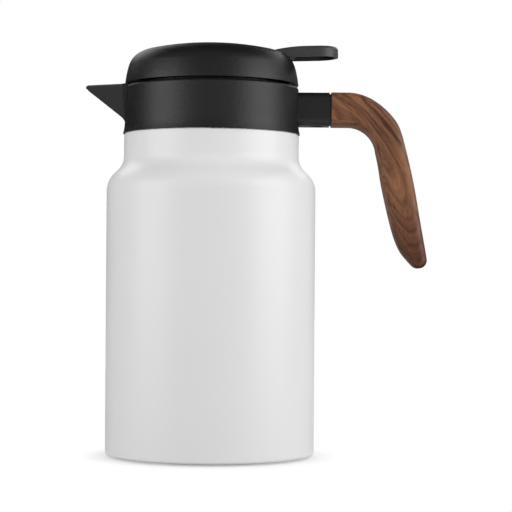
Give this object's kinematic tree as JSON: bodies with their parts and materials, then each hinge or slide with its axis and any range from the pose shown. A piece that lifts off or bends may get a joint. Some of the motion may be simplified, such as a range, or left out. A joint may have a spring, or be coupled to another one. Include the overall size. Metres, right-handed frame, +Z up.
{
  "type": "thermal jug",
  "caption": "Vacuum flask jug with a white steel body, black collar and pouring spout, sprung hinged lid with a thumb lever, and an open bent wooden handle.",
  "frame": {"origin": "on the jug's axis, on the surface that it stands on", "axes": "+Z up, +X towards the handle, -X towards the spout"},
  "size_m": [0.2046, 0.125, 0.2462],
  "materials": {
    "white_coat": "satin off-white powder coat",
    "steel": "plain satin stainless steel",
    "dark_steel": "blackened steel",
    "brass": "dull brass",
    "black_plastic": "matt black plastic with a fine moulded grain",
    "walnut": "oiled walnut",
    "grey_silicone": "dark grey silicone",
    "clear_silicone": "milky silicone",
    "foam": "cream closed-cell foam"
  },
  "bodies": {
    "jug": {"outer_shell": "white_coat", "inner_flask": "steel", "base_plate": "steel", "vacuum_plug": "brass", "getter": "steel", "base_pad": "grey_silicone", "collar": "black_plastic", "mouth_gasket": "clear_silicone", "handle_tenon": "steel", "handle_screw": "dark_steel", "handle_spacer": "grey_silicone", "wood_handle": "walnut", "hinge_pin": "steel", "lid_spring": "steel"},
    "lid": {"lid_dome": "black_plastic", "thumb_lever": "black_plastic", "lever_screws": "steel", "lid_liner": "black_plastic", "lid_seal": "clear_silicone", "lid_insulation": "foam"}
  },
  "joints": [
    {"name": "lid_hinge", "type": "hinge", "parent": "jug", "child": "lid", "pos_m": [0.0474, 0, 0.2168], "axis": [0, 1, 0], "range_deg": [0, 33], "stiffness_Nm_per_rad": 0.1, "springref_deg": -34.38, "deforming": ["lid_spring"]}
  ]
}
